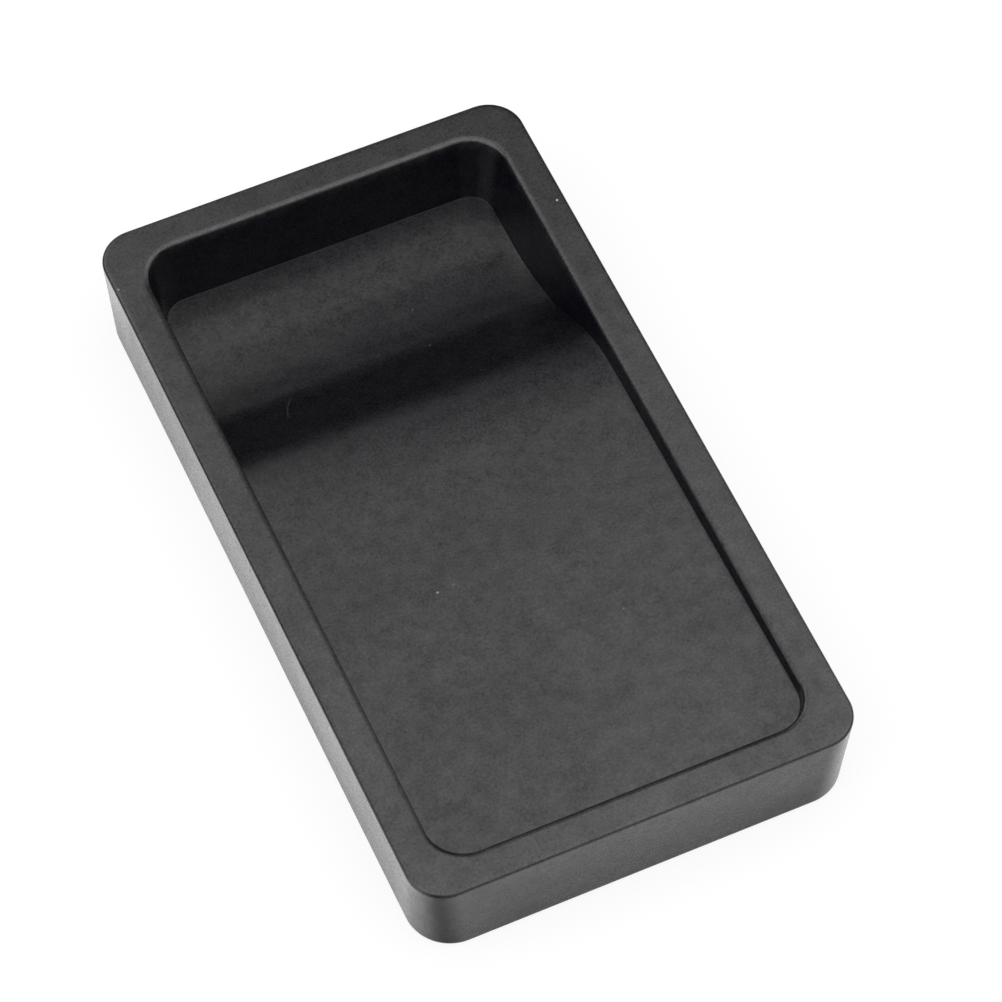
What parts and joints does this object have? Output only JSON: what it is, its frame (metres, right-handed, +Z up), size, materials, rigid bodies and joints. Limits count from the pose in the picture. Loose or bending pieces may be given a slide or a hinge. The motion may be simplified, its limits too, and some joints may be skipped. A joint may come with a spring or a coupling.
{
  "type": "ink stone",
  "caption": "Flat rectangular ink stone with a raised rim, a shallow grinding surface that slopes down into a deep ink well at one end.",
  "frame": {"origin": "centre of the flat underside", "axes": "+Z up out of the recess, +Y along the length towards the ink well, +X to the right when the well is at the far end"},
  "size_m": [0.075, 0.135, 0.018],
  "materials": {
    "stone": "fine-grained, dark grey, honed to a dull sheen"
  },
  "bodies": {
    "root": {"stone_block": "stone"}
  },
  "joints": []
}
